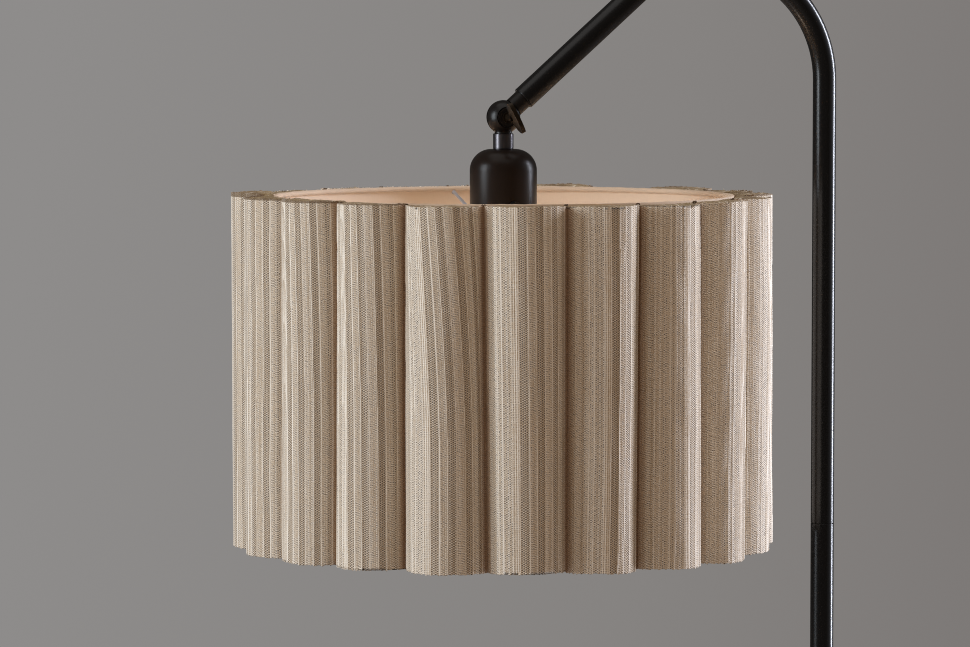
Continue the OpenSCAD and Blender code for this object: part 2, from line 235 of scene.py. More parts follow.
def brushed(name, base, rough, stretch=(40, 40, 900), metallic=1.0):
    n = Nodes(name)
    co = n.coord()
    lines = n.noise(n.scale(co, stretch), 3.0, 3.0, 0.6)
    blot = n.noise(co, 60, 3.0, 0.6)
    col = n.mix(lines, tuple(c * 0.86 for c in base[:3]) + (1,), tuple(min(1, c * 1.1) for c in base[:3]) + (1,))
    col = n.mix(n.math("MULTIPLY", blot, 0.35), col, tuple(c * 0.7 for c in base[:3]) + (1,))
    n.set(Base_Color=col, Metallic=metallic, Roughness=n.math("MULTIPLY_ADD", lines, 0.12, rough - 0.05),
          Normal=n.bump(lines, 0.25, 0.00003))
    return n.m


def cast_metal(name, base):
    n = Nodes(name)
    co = n.coord()
    grit = n.noise(co, 420, 6.0, 0.7)
    blot = n.noise(co, 30, 4.0, 0.6)
    col = n.mix(blot, tuple(c * 0.7 for c in base[:3]) + (1,), base)
    col = n.mix(n.ramp(grit, [(0.45, (0, 0, 0)), (0.75, (0.5, 0.5, 0.5))]), col, (0.12, 0.07, 0.045, 1))
    n.set(Base_Color=col, Metallic=0.6, Roughness=n.math("MULTIPLY_ADD", grit, 0.3, 0.45), Normal=n.bump(grit, 0.8, 0.0004))
    return n.m


def moulded(name, base, rough, grain=700, bump=0.00004):
    n = Nodes(name)
    co = n.coord()
    g = n.noise(co, grain, 2.0, 0.5)
    cloud = n.noise(co, 35, 3.0, 0.5)
    col = n.mix(cloud, tuple(c * 0.85 for c in base[:3]) + (1,), tuple(min(1, c * 1.2) for c in base[:3]) + (1,))
    n.set(Base_Color=col, Roughness=n.math("MULTIPLY_ADD", cloud, 0.12, rough - 0.05), Normal=n.bump(g, 0.5, bump))
    return n.m


def rubber(name, base):
    n = Nodes(name)
    co = n.coord()
    g = n.noise(co, 1500, 4.0, 0.7)
    dust = n.noise(co, 18, 5.0, 0.65)
    col = n.mix(n.ramp(dust, [(0.45, (0, 0, 0)), (0.8, (0.5, 0.5, 0.5))]), base, tuple(c * 2.2 + 0.02 for c in base[:3]) + (1,))
    n.set(Base_Color=col, Roughness=n.math("MULTIPLY_ADD", dust, 0.15, 0.72), Normal=n.bump(g, 0.6, 0.0001))
    return n.m


def card(name, base, fibre=1.0):
    """Kraft card or backing cloth with short fibres."""
    n = Nodes(name)
    co = n.coord()
    f = n.noise(n.scale(co, (700, 700, 2400)), 1.0, 4.0, 0.7)
    b = n.noise(co, 90, 4.0, 0.6)
    col = n.mix(f, tuple(c * 0.72 for c in base[:3]) + (1,), tuple(min(1, c * 1.2) for c in base[:3]) + (1,))
    col = n.mix(n.math("MULTIPLY", b, 0.4), col, tuple(c * 0.6 for c in base[:3]) + (1,))
    n.set(Base_Color=col, Roughness=n.math("MULTIPLY_ADD", f, 0.1, 0.84), Normal=n.bump(f, 0.6 * fibre, 0.0002))
    return n.m


bronze = satin_tube("bronze_paint", srgb(17, 16, 16), 0.26, 0.42)
bronze_ball = metal_paint("bronze_ball", srgb(20, 16, 14), 0.34, speck=0.04, spec=0.32, peel_d=0.00001)
# dark bronze paint, made browner than the tubes as a painted warm reflection of the lit liner
cup_bronze_and_warm_reflection = metal_paint("cup_bronze_and_warm_reflection", srgb(29, 22, 18), 0.31, speck=0.03, spec=0.19, peel_d=0.00001)
# brownish metal for the thumb screw; its brown is partly a painted warm reflection of the lit shade
wing_metal_and_warm_reflection = metal_paint("wing_metal_and_warm_reflection", srgb(44, 36, 27), 0.30, speck=0.05, metallic=0.6, peel_d=0.00001)
neck_metal = brushed("neck_metal", srgb(98, 95, 98), 0.33, stretch=(240, 240, 20))
zinc = brushed("zinc_steel", srgb(168, 168, 170), 0.34)
wire = brushed("wire_steel", srgb(186, 188, 196), 0.42, metallic=0.45)
brass = brushed("socket_brass", srgb(196, 160, 88), 0.3)
alu = brushed("cap_aluminium", srgb(200, 200, 203), 0.3)
iron = cast_metal("cast_weight", srgb(92, 92, 95))
black_plastic = moulded("socket_plastic", srgb(30, 29, 29), 0.45)
knob_plastic = moulded("knob_plastic", srgb(20, 19, 19), 0.3, grain=1200)
insulator = moulded("insulator_glass", srgb(24, 22, 36), 0.12, grain=90)
pad_rubber = rubber("pad_rubber", srgb(38, 37, 36))
former_card = card("former_card", srgb(150, 122, 86))

finish = {
    "bronze_paint": bronze, "neck_metal": neck_metal, "cast_weight": iron, "pad_rubber": pad_rubber,
    "bushing_rubber": pad_rubber, "zinc_steel": zinc, "socket_brass": brass, "socket_plastic": black_plastic,
    "knob_plastic": knob_plastic, "wire_steel": wire, "former_card": former_card, "cap_card": former_card,
    "cap_aluminium": alu, "insulator_glass": insulator,
}

# liner: pale paper-backed cloth, warm where the bulb lights it
n = Nodes("liner_sheet")
co = n.coord()
weft = n.noise(n.scale(co, (260, 260, 2600)), 1.0, 3.0, 0.6)
warp = n.noise(n.scale(co, (2600, 2600, 160)), 1.0, 3.0, 0.6)
weave = n.math("ADD", n.math("MULTIPLY", weft, 0.5), n.math("MULTIPLY", warp, 0.5))
cloud = n.noise(co, 9, 3.0, 0.5)
col = n.mix(weave, srgb(214, 194, 172), srgb(234, 217, 197))
col = n.mix(n.math("MULTIPLY", cloud, 0.3), col, srgb(232, 214, 198))
n.set(Base_Color=col, Roughness=n.math("MULTIPLY_ADD", weave, 0.1, 0.78), Normal=n.bump(weave, 0.35, 0.0001))
finish["liner_sheet"] = n.m

# bulb: frosted, lit
n = Nodes("bulb_glass")
co = n.coord()
frost = n.noise(co, 900, 3.0, 0.6)
soft = n.noise(co, 24, 2.0, 0.5)
n.set(Base_Color=n.mix(frost, srgb(250, 240, 220), srgb(255, 250, 240)), Roughness=n.math("MULTIPLY_ADD", frost, 0.1, 0.3),
      Normal=n.bump(frost, 0.2, 0.00005))
n.put(n.bsdf, "Emission Color", n.mix(soft, (1.0, 0.70, 0.42, 1), (1.0, 0.78, 0.52, 1)))
n.bsdf.inputs["Emission Strength"].default_value = 3.0
finish["bulb_glass"] = n.m

slots = {s["node"]: s["material_slot"] for s in frame["record"]["subparts"]}
special = {"socket_cup": cup_bronze_and_warm_reflection, "knuckle_arm_half": bronze_ball, "knuckle_head_half": bronze_ball,
           "screw_washer": bronze_ball, "thumb_screw": wing_metal_and_warm_reflection}
for name, ob in frame["nodes"].items():
    m = special.get(name) or finish.get(slots[name]) or bronze
    ob.data.materials.clear()
    ob.data.materials.append(m)

# ------------------------------------------------------------------ woven cover
# Stripes of the cloth across one flute, in mm along the arc from its crest:
# (start, tone, openness, slant, cord) ; tone 0 dark to 1 pale
STRIPES = [
    (-41.5, 0.74, 0.60, 0.33, 0.0), (-36.6, 0.87, 0.10, 0.0, 0.9), (-35.8, 0.76, 0.52, 0.33, 0.0),
    (-30.6, 0.73, 0.68, 0.5, 0.0), (-27.4, 0.78, 0.50, 0.33, 0.0), (-24.9, 0.90, 0.10, 0.0, 1.0),
    (-23.9, 0.79, 0.66, 0.5, 0.0), (-20.7, 0.91, 0.10, 0.0, 1.0), (-19.7, 0.79, 0.70, 0.5, 0.0),
    (-12.7, 0.92, 0.10, 0.0, 1.0), (-11.7, 0.68, 0.45, 0.0, 0.0), (-10.7, 0.91, 0.10, 0.0, 0.8),
    (-9.9, 0.66, 0.45, 0.0, 0.0), (-8.9, 0.91, 0.10, 0.0, 0.8), (-8.1, 0.66, 0.45, 0.0, 0.0),
    (-7.3, 0.92, 0.10, 0.0, 1.0), (-6.4, 0.71, 0.92, 0.5, 0.0), (0.2, 0.95, 0.10, 0.0, 1.0),
    (1.2, 0.76, 0.58, 0.33, 0.0), (6.0, 0.89, 0.10, 0.0, 0.9), (6.8, 0.66, 0.92, 0.5, 0.0),
    (12.4, 0.87, 0.10, 0.0, 0.8), (13.3, 0.75, 0.52, 0.33, 0.0), (19.2, 0.86, 0.10, 0.0, 0.7),
    (20.0, 0.65, 0.92, 0.5, 0.0), (25.4, 0.87, 0.10, 0.0, 0.8), (26.3, 0.74, 0.52, 0.33, 0.0),
    (31.4, 0.65, 0.85, 0.5, 0.0), (34.6, 0.85, 0.10, 0.0, 0.8), (35.4, 0.72, 0.52, 0.33, 0.0),
]
HALF = 41.5
SPAN = 2 * HALF

# hand-made irregularity, flute by flute
v_top = rng.normal(0, 0.26, NF)
v_hem = rng.normal(0, 0.36, NF)
r_top = rng.normal(0, 0.35, NF)
r_hem = rng.normal(0, 0.45, NF)
bulge = rng.normal(0.35, 0.25, NF)
# where the stripes start on each flute, and how far they have slid sideways at the rim (mm)
phase = rng.uniform(-3.5, 3.5, NF)
slide = rng.normal(0, 2.0, NF)
for k, (p, q) in {9: (1.0, 0.5), 10: (0.0, -0.5), 11: (1.5, -4.5), 12: (-1.0, -5.5), 13: (0.5, -8.5), 14: (0.0, -1.2),
                  15: (4.0, -0.6), 16: (9.0, 0.8), 17: (11.0, 0.5), 18: (6.0, 0.0)}.items():
    phase[k], slide[k] = p, q
sway = rng.normal(0, 0.7, NF)
# how far each flute stands above or below the rim line, and the hem line (mm)
lift = np.random.default_rng(21).normal(0, 0.75, NF)
for k, q in {9: 3.0, 10: 1.3, 11: 1.7, 12: 0.6, 13: -0.4, 14: -0.3, 15: -0.6, 16: -1.5, 17: -0.5, 18: 0.1, 19: 0.9}.items():
    lift[k] = q
drop = np.random.default_rng(22).normal(0, 0.5, NF)

COLS = np.linspace(-HALF, HALF, 87)[:-1]
rows_z = np.concatenate([[0.0, 0.0022, 0.006], np.linspace(0.014, 0.986, 66), [0.994, 0.9978, 1.0]])
NR = len(rows_z)


def valley_angle(k, zt):
    """Angle of the valley between flutes k - 1 and k."""
    return math.radians(FLUTE_A0 + 18 * k - 9 + v_hem[k % NF] * (1 - zt) + v_top[k % NF] * zt)


def outline(k, s_arr, zt, inset=0.0):
    """Section of flute k at height share zt: an arc between its two valleys, and its normals."""
    va, vb = valley_angle(k, zt), valley_angle(k + 1, zt)
    mid, half = (va + vb) / 2, (vb - va) / 2
    rv = 194.6
    cx = RC + (r_hem[k] * (1 - zt) + r_top[k] * zt) * 0.5 + 0.4 * math.sin(math.pi * zt) * bulge[k]
    px, py = rv * math.cos(half), rv * math.sin(half)
    r = math.hypot(px - cx, py)
    psi = np.asarray(s_arr) / HALF * math.atan2(py, px - cx)
    nx, ny = np.cos(psi), np.sin(psi)
    x, y = cx + (r - inset) * nx, (r - inset) * ny
    c, s = math.cos(mid), math.sin(mid)
    return np.stack([x * c - y * s, x * s + y * c], -1), np.stack([nx * c - ny * s, nx * s + ny * c], -1)


def relief(mat, openness):
    return 0.22 * openness


def cloth_slide(k, zt):
    """Sideways drift of the cloth on flute k, mm, most of it in the upper third."""
    up = max(0.0, (zt - 0.35) / 0.65)
    return slide[k] * up ** 1.6 + sway[k] * math.sin(4.2 * zt + k)


starts = np.array([s[0] for s in STRIPES])
cordiness = np.array([s[4] for s in STRIPES])
openness = np.array([s[2] for s in STRIPES])


def build_cover():
    fl = np.repeat(np.arange(NF), len(COLS))
    s0 = np.tile(COLS, NF)
    nc = len(fl)
    zs = HEM / MM + rows_z * (RIM - HEM) / MM
    outer = np.zeros((nc, NR, 3))
    U = np.zeros((nc, NR))
    for j, zt in enumerate(rows_z):
        for k in range(NF):
            sel = fl == k
            s = s0[sel]
            mat = s - phase[k] - cloth_slide(k, zt) * (1 - (s / HALF) ** 4)
            p, nrm = outline(k, s, zt)
            idx = np.searchsorted(starts, (mat + HALF) % SPAN - HALF, side="right") - 1
            edge = np.clip((HALF - np.abs(s)) / 4.0, 0, 1)
            up = (cordiness[idx] * 0.30 - openness[idx] * 0.10) * edge - 0.35 * (1 - edge)
            p = p + nrm * up[:, None]
            outer[sel, j, 0], outer[sel, j, 1], outer[sel, j, 2] = p[:, 0], p[:, 1], zs[j]
            U[sel, j] = mat + k * SPAN
    ph = rng.uniform(0, 6.28, 5)
    ang = np.arctan2(outer[:, :, 1], outer[:, :, 0])
    wob = sum(np.sin(ang * (7 + 5 * i) + outer[:, :, 2] * (0.013 + 0.009 * i) + ph[i]) for i in range(5)) * 0.10
    wob += 0.12 * np.sin(outer[:, :, 2] * 0.11 + 9 * np.sin(ang * 10)) * np.sin(ang * 3 + 1)
    f = 1 + wob / np.hypot(outer[:, :, 0], outer[:, :, 1])
    outer[:, :, 0] *= f
    outer[:, :, 1] *= f
    # ragged cut edges at the rim and at the hem
    T, H = RIM / MM, HEM / MM
    rag = rng.normal(0, 0.28, nc) + 0.30 * np.sin(np.arange(nc) * 0.13 + 1.0) + 0.22 * np.sin(np.arange(nc) * 0.047)
    rag2 = rng.normal(0, 0.34, nc) + 0.35 * np.sin(np.arange(nc) * 0.09 + 2.0) + 0.3 * np.sin(np.arange(nc) * 0.041)
    outer[:, -1, 2] = T - 0.35 + rag + lift[fl]
    outer[:, -2, 2] = T - 1.0 + rag * 0.6 + lift[fl]
    outer[:, 0, 2] = H + 0.35 + rag2 + drop[fl]
    outer[:, 1, 2] = H + 1.0 + rag2 * 0.6 + drop[fl]

    def inset(points, d, z):
        t = np.roll(points, -1, 0) - np.roll(points, 1, 0)
        t[:, 2] = 0
        t /= np.maximum(np.linalg.norm(t, axis=1), 1e-9)[:, None]
        q = points.copy()
        q[:, 0] -= t[:, 1] * d
        q[:, 1] += t[:, 0] * d
        q[:, 2] = z
        return q

    inner = [inset(outer[:, -1], 0.9, outer[:, -1, 2] - 0.2), inset(outer[:, -2], 1.0, T - 7),
             inset(outer[:, 1], 1.0, H + 7), inset(outer[:, 0], 0.9, outer[:, 0, 2] + 0.2)]
    allp = np.concatenate([outer] + [q[:, None] for q in inner], 1)
    nv = allp.shape[1]
    pts = allp.reshape(-1, 3) * MM + np.array([HX, HY, 0])
    UU = np.concatenate([U, U[:, -1:], U[:, -2:-1], U[:, 1:2], U[:, :1]], 1) / 100.0
    uvs = np.stack([UU, allp[:, :, 2] / 100.0], -1).reshape(-1, 2)
    quads = grid_faces(nc, nv, True, True)
    ob = mesh_object("shade_cover", pts, quads, None, True)
    me = ob.data
    layer = me.uv_layers.new(name="weave")
    # the last column of each flute meets the next flute's first one: its far side keeps this flute's cloth
    li = np.zeros(len(me.loops), np.int32)
    me.loops.foreach_get("vertex_index", li)
    luv = uvs[li].copy()
    lf = li // nv
    face_first = np.repeat(lf.reshape(-1, 4)[:, :1], 4, 1).ravel()
    cross = (fl[lf] != fl[face_first])
    kk = fl[face_first]
    row = li % nv
    zt_all = np.concatenate([rows_z, [1.0, 1.0, 0.0, 0.0]])
    matU = (HALF - phase[kk] + kk * SPAN) / 100.0
    luv[cross, 0] = matU[cross]
    layer.data.foreach_set("uv", luv.astype(np.float32).ravel())
    across = np.repeat(np.abs(s0 / HALF)[:, None], nv, 1).ravel()
    at = me.attributes.new("across", "FLOAT", "POINT")
    at.data.foreach_set("value", across.astype(np.float32))
    return ob, outer


cover, outer_pts = build_cover()


def weave_material():
    n = Nodes("woven_cover")
    uvv = n.split(n.uv())
    U = n.math("MULTIPLY", uvv[0], 100.0)      # mm across
    V = n.math("MULTIPLY", uvv[1], 100.0)      # mm up
    across = n.attr("across").outputs["Fac"]
    vec = n.join(U, V, 0.0)
    place = n.math("FRACT", n.math("DIVIDE", n.math("ADD", U, HALF), SPAN))
    stops_a, stops_b = [], []
    for s0, tone, opn, slant, cord in STRIPES:
        stops_a.append(((s0 + HALF) / SPAN, (tone, opn, slant)))
        stops_b.append(((s0 + HALF) / SPAN, (cord, cord, cord)))
    ra = n.t.nodes.new("ShaderNodeSeparateColor")
    n.t.links.new(n.ramp(place, stops_a, "CONSTANT"), ra.inputs[0])
    tone, opn, slant = ra.outputs
    rb = n.t.nodes.new("ShaderNodeSeparateColor")
    n.t.links.new(n.ramp(place, stops_b, "CONSTANT"), rb.inputs[0])
    cord = rb.outputs[0]

    # rows wander a little, as handled cloth does
    wan = n.noise(n.join(n.math("MULTIPLY", U, 0.05), n.math("MULTIPLY", V, 0.02), 0.0), 1.0, 2.0, 0.5)
    V2 = n.math("MULTIPLY_ADD", wan, 6.0, V)
    cu = n.math("DIVIDE", U, 1.48)
    ci = n.math("FLOOR", cu)
    fu = n.math("SUBTRACT", n.math("SUBTRACT", cu, ci), 0.5)
    cv = n.math("MULTIPLY_ADD", ci, slant, n.math("DIVIDE", V2, 1.77))
    wc = n.t.nodes.new("ShaderNodeTexWhiteNoise")
    wc.noise_dimensions = "1D"
    n.put(wc, "W", ci)
    uneven = n.math("MULTIPLY", n.math("COMPARE", slant, 0.33, 0.1), 0.4)
    cv = n.math("MULTIPLY_ADD", wc.outputs["Value"], uneven, cv)
    cvi = n.math("FLOOR", cv)
    fv = n.math("SUBTRACT", n.math("SUBTRACT", cv, cvi), 0.5)
    # an opening in each cell: leaning in the slanted weaves
    lean = n.math("MULTIPLY", n.math("COMPARE", slant, 0.33, 0.1), 0.55)
    fu2 = n.math("MULTIPLY_ADD", fv, lean, fu)
    d = n.math("SQRT", n.math("ADD", n.math("POWER", n.math("MULTIPLY", fu2, 1.48 / 0.56), 2.0),
                              n.math("POWER", n.math("MULTIPLY", fv, 1.77 / 0.55), 2.0)))
    hole = n.math("MULTIPLY", n.math("SUBTRACT", 1.3, d), 2.0, None, True)
    wn = n.t.nodes.new("ShaderNodeTexWhiteNoise")
    wn.noise_dimensions = "2D"
    n.put(wn, "Vector", n.join(ci, cvi, 0.0))
    jit = wn.outputs["Value"]
    loose = n.math("SUBTRACT", 1.25, opn)          # closer weaves are less regular
    hole = n.math("MULTIPLY", hole, n.math("MULTIPLY_ADD", n.math("SUBTRACT", jit, 0.5), n.math("MULTIPLY", loose, 1.7), 0.95))
    gap = n.math("MULTIPLY", hole, opn, None, True)
    # round yarns, and each float bowed along its length
    yarn = n.math("COSINE", n.math("MULTIPLY", fu, math.pi))
    bow = n.math("COSINE", n.math("MULTIPLY", fv, math.pi))
    fuzz = n.noise(n.scale(vec, (0.95, 0.6, 1.0)), 1.0, 4.0, 0.75)
    slub = n.noise(n.join(n.math("MULTIPLY", U, 0.8), n.math("MULTIPLY", V, 0.015), 0.0), 1.0, 2.0, 0.6)
    knit = n.math("MULTIPLY_ADD", n.math("SINE", n.math("MULTIPLY", V2, 3.9)), 0.5, 0.5)
    h = n.math("MULTIPLY_ADD", yarn, 0.30, 0.30)
    h = n.math("MULTIPLY_ADD", bow, -0.12, h)
    h = n.math("MULTIPLY_ADD", gap, -0.75, h)
    h = n.math("MULTIPLY_ADD", cord, n.math("MULTIPLY_ADD", knit, 0.15, 0.25), h)
    h = n.math("MULTIPLY_ADD", fuzz, 0.30, h)
    t = n.math("MULTIPLY_ADD", n.math("SUBTRACT", slub, 0.5), 0.40, tone)
    t = n.math("MULTIPLY_ADD", n.math("SUBTRACT", fuzz, 0.5), 0.75, t)
    t = n.math("MULTIPLY_ADD", n.math("SUBTRACT", jit, 0.5), 0.22, t)
    # painted shade and highlight: each round yarn is lighter along its middle and darker at its sides
    t = n.math("MULTIPLY_ADD", n.math("SUBTRACT", yarn, 0.6), 0.25, t)
    t = n.math("MULTIPLY_ADD", n.math("SUBTRACT", wc.outputs["Value"], 0.5), 0.22, t)
    col = n.ramp(t, [(0.0, srgb(104, 84, 64)[:3]), (0.3, srgb(162, 140, 115)[:3]), (0.55, srgb(200, 184, 162)[:3]),
                     (0.8, srgb(230, 219, 202)[:3]), (1.0, srgb(250, 244, 233)[:3])])
    # painted shade: the openings between the yarns are painted dark brown
    col = n.mix(n.math("MULTIPLY", gap, 0.85, None, True), col, srgb(66, 48, 34))
    speck = n.ramp(n.noise(n.scale(vec, (1.0, 0.6, 1.0)), 0.62, 2.0, 0.5), [(0.80, (0, 0, 0)), (0.83, (1, 1, 1))])
    col = n.mix(n.math("MULTIPLY", speck, 0.85), col, srgb(48, 36, 26))
    # painted warm shade in the folds between flutes; the last millimetre at the rim is the raw brown edge
    fold_shade = n.ramp(across, [(0.79, (0, 0, 0)), (0.98, (1, 1, 1))])
    col = n.mix(n.math("MULTIPLY", fold_shade, 0.70), col, srgb(154, 115, 80))
    rim = n.math("GREATER_THAN", n.math("MULTIPLY_ADD", fuzz, 1.2, V), RIM / MM + 0.2)
    col = n.mix(n.math("MULTIPLY", rim, 0.8), col, srgb(112, 92, 68))
    n.set(Base_Color=col, Roughness=n.math("MULTIPLY_ADD", fuzz, 0.08, 0.87), Normal=n.bump(h, 1.0, 0.00045))
    n.bsdf.inputs["Sheen Weight"].default_value = 0.18
    n.bsdf.inputs["Sheen Roughness"].default_value = 0.5
    n.bsdf.inputs["Sheen Tint"].default_value = (1.0, 0.96, 0.90, 1)
    n.bsdf.inputs["Specular IOR Level"].default_value = 0.2
    return n.m


woven = weave_material()
cover.data.materials.append(woven)
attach(cover, "head")
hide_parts("shade_fabric")


# ------------------------------------------------------------------ flute cores and ends
def offset_ring(points, d):
    t = np.roll(points, -1, 0) - np.roll(points, 1, 0)
    t[:, 2] = 0
    t /= np.maximum(np.linalg.norm(t, axis=1), 1e-9)[:, None]
    q = points.copy()
    q[:, 0] -= t[:, 1] * d
    q[:, 1] += t[:, 0] * d
    return q


STEP = 2
ids = np.arange(0, outer_pts.shape[0], STEP)


def core_mesh():
    """Card flutes under the cloth, closed and 1.4 mm thick."""
    rows = list(range(3, NR - 3, 7)) + [NR - 4]
    rings = []
    for j in rows:
        q = offset_ring(outer_pts[ids, j], 1.9)
        rings.append(q)
    zlo, zhi = HEM / MM + 3.4, RIM / MM - 3.4
    rings[0][:, 2], rings[-1][:, 2] = zlo, zhi
    back = [offset_ring(r, 1.2) for r in rings[::-1]]
    allr = np.stack(rings + back, 1)
    pts = allr.reshape(-1, 3) * MM + np.array([HX, HY, 0])
    return mesh_object("flute_cores", pts, grid_faces(len(ids), allr.shape[1], True, True), former_card)


cores = core_mesh()
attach(cores, "head")
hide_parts("flute_formers")


def ring_cloth(name, z, up, material, depth):
    """Cloth-faced ends of the flutes, as one ring from the liner out to the cover."""
    o = offset_ring(outer_pts[ids, -3 if up > 0 else 2], 1.05)
    ang = np.arctan2(o[:, 1], o[:, 0])
    r_out = np.hypot(o[:, 0], o[:, 1])
    step = (lift if up > 0 else drop)[np.minimum(ids * NF // outer_pts.shape[0], NF - 1)]
    r_in = 184.0
    nr = 11
    P = np.zeros((len(ids), 2 * nr, 3))
    rr = np.random.default_rng(7 if up > 0 else 9)
    lump = sum(np.sin(ang * f + q) for f, q in ((20, 0.3), (33, 1.0), (61, 2.0))) * 0.22
    for i in range(nr):
        f = i / (nr - 1)
        r = r_in + (r_out - r_in) * f
        dome = 0.9 * math.sin(math.pi * f) + lump * math.sin(math.pi * f) + rr.normal(0, 0.10, len(ids)) - (0.5 if i in (0, nr - 1) else 0)
        P[:, i] = np.stack([r * np.cos(ang), r * np.sin(ang), z + up * (dome - 1.1) + step * min(1.0, i / 2)], -1)
        P[:, 2 * nr - 1 - i] = np.stack([r * np.cos(ang), r * np.sin(ang), np.full(len(ids), z - up * depth)], -1)
    pts = P.reshape(-1, 3) * MM + np.array([HX, HY, 0])
    faces = grid_faces(len(ids), 2 * nr, True, True)
    if up < 0:
        faces = faces[:, ::-1]
    return mesh_object(name, pts, faces, material)


def end_cloth_material():
    """Raw backing cloth: tan weave, brown where it is glued, pale threads."""
    n = Nodes("end_cloth")
    co = n.coord()
    w1 = n.noise(n.scale(co, (2400, 420, 900)), 1.0, 3.0, 0.6)
    w2 = n.noise(n.scale(co, (420, 2400, 900)), 1.0, 3.0, 0.6)
    pale = n.noise(co, 160, 4.0, 0.7)
    blot = n.noise(co, 45, 3.0, 0.6)
    w = n.math("MULTIPLY", n.math("ADD", w1, w2), 0.5)
    col = n.ramp(w, [(0.3, srgb(92, 74, 50)[:3]), (0.5, srgb(146, 127, 94)[:3]), (0.68, srgb(196, 184, 158)[:3])])
    col = n.mix(n.ramp(blot, [(0.45, (0, 0, 0)), (0.7, (0.65, 0.65, 0.65))]), col, srgb(88, 64, 40))
    col = n.mix(n.ramp(pale, [(0.56, (0, 0, 0)), (0.68, (0.8, 0.8, 0.8))]), col, srgb(226, 219, 204))
    n.set(Base_Color=col, Roughness=n.math("MULTIPLY_ADD", w, 0.1, 0.85), Normal=n.bump(w, 0.9, 0.0005))
    return n.m


end_cloth = end_cloth_material()
top_cloth = ring_cloth("flute_end_top", RIM / MM, 1, end_cloth, 3.0)
low_cloth = ring_cloth("flute_end_hem", HEM / MM, -1, end_cloth, 3.0)
for ob in (top_cloth, low_cloth):
    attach(ob, "head")
    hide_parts("flute_end_caps")


def thread_material(name, a, b):
    n = Nodes(name)
    co = n.coord()
    f = n.noise(co, 1800, 3.0, 0.6)
    n.set(Base_Color=n.mix(f, a, b), Roughness=n.math("MULTIPLY_ADD", f, 0.1, 0.82), Normal=n.bump(f, 0.5, 0.0001))
    return n.m


def fibres(name, material, spots):
    """Loose thread ends: bent three-sided spikes. spots: (x, y, z, dx, dy, dz, length, width)."""
    V, F = [], []
    for x, y, z, dx, dy, dz, ln, w in spots:
        d = np.array([dx, dy, dz]) / math.sqrt(dx * dx + dy * dy + dz * dz)
        a = np.cross(d, [0.3, 0.5, 0.81])
        a /= np.linalg.norm(a)
        b = np.cross(d, a)
        bend = (a * rng.normal(0, 0.35) + b * rng.normal(0, 0.35)) * ln
        base = len(V)
        for q, (f, ww) in enumerate(((0.0, 1.0), (0.5, 0.8), (1.0, 0.25))):
            c = np.array([x, y, z]) + d * ln * f + bend * f * f
            for m in range(3):
                t = 2 * math.pi * m / 3
                V.append(c + (a * math.cos(t) + b * math.sin(t)) * w * ww)
        for q in range(2):
            for m in range(3):
                i0, i1 = base + q * 3 + m, base + q * 3 + (m + 1) % 3
                F.append((i0, i1, i1 + 3, i0 + 3))
    V = np.array(V) * MM + np.array([HX, HY, 0])
    return mesh_object(name, V, np.array(F), material)


def edge_spots(row, up, count):
    out = []
    n = outer_pts.shape[0]
    for i in rng.choice(n, count, replace=False):
        p = outer_pts[i, row]
        r = math.hypot(p[0], p[1])
        ux, uy = p[0] / r, p[1] / r
        side = rng.normal(0, 0.9)
        rr = rng.uniform(0.2, 0.9)
        out.append((p[0] - ux * rr, p[1] - uy * rr, p[2] - up * 0.4, ux * rng.normal(0.2, 0.4) - uy * side,
                    uy * rng.normal(0.2, 0.4) + ux * side, up * rng.uniform(0.3, 1.0),
                    rng.uniform(0.7, 1.9), rng.uniform(0.09, 0.17)))
    return out


pale_thread = thread_material("pale_thread", srgb(196, 182, 160), srgb(232, 222, 205))
edge_thread = thread_material("edge_thread", srgb(150, 132, 104), srgb(214, 202, 180))
fray_top = fibres("fray_top", edge_thread, edge_spots(-1, 1, 340))
fray_hem = fibres("fray_hem", pale_thread, edge_spots(0, -1, 520))
for ob in (fray_top, fray_hem):
    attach(ob, "head")


def knots():
    """Small thread knots that gather the cloth at the head of each valley."""
    V, F = [], []
    for k in range(NF):
        a = valley_angle(k, 1.0)
        cx, cy, cz = 193.6 * math.cos(a), 193.6 * math.sin(a), RIM / MM - 0.7
        yaw = rng.uniform(0, 6.28)
        base = len(V)
        m1, m2 = 18, 6
        for i in range(m1):
            t = 2 * math.pi * i / m1
            rr = 1.15 + 0.25 * math.sin(3 * t + yaw)
            c = np.array([rr * math.cos(t), rr * math.sin(t), 0.35 * math.sin(2 * t + yaw) + 0.4])
            rad = np.array([math.cos(t), math.sin(t), 0])
            for j in range(m2):
                q = 2 * math.pi * j / m2
                p = c + (rad * math.cos(q) + np.array([0, 0, 1]) * math.sin(q)) * 0.62
                V.append((cx + p[0], cy + p[1], cz + p[2]))
        F.append(grid_faces(m1, m2, True, True) + base)
    V = np.array(V) * MM + np.array([HX, HY, 0])
    return mesh_object("valley_knots", V, np.concatenate(F), thread_material("brown_thread", srgb(70, 52, 36), srgb(104, 82, 58)))


kn = knots()
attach(kn, "head")

# cloth tape over the spider's outer ring, with its lap and fine wrinkles
spi_lo, spi_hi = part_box("shade_spider")


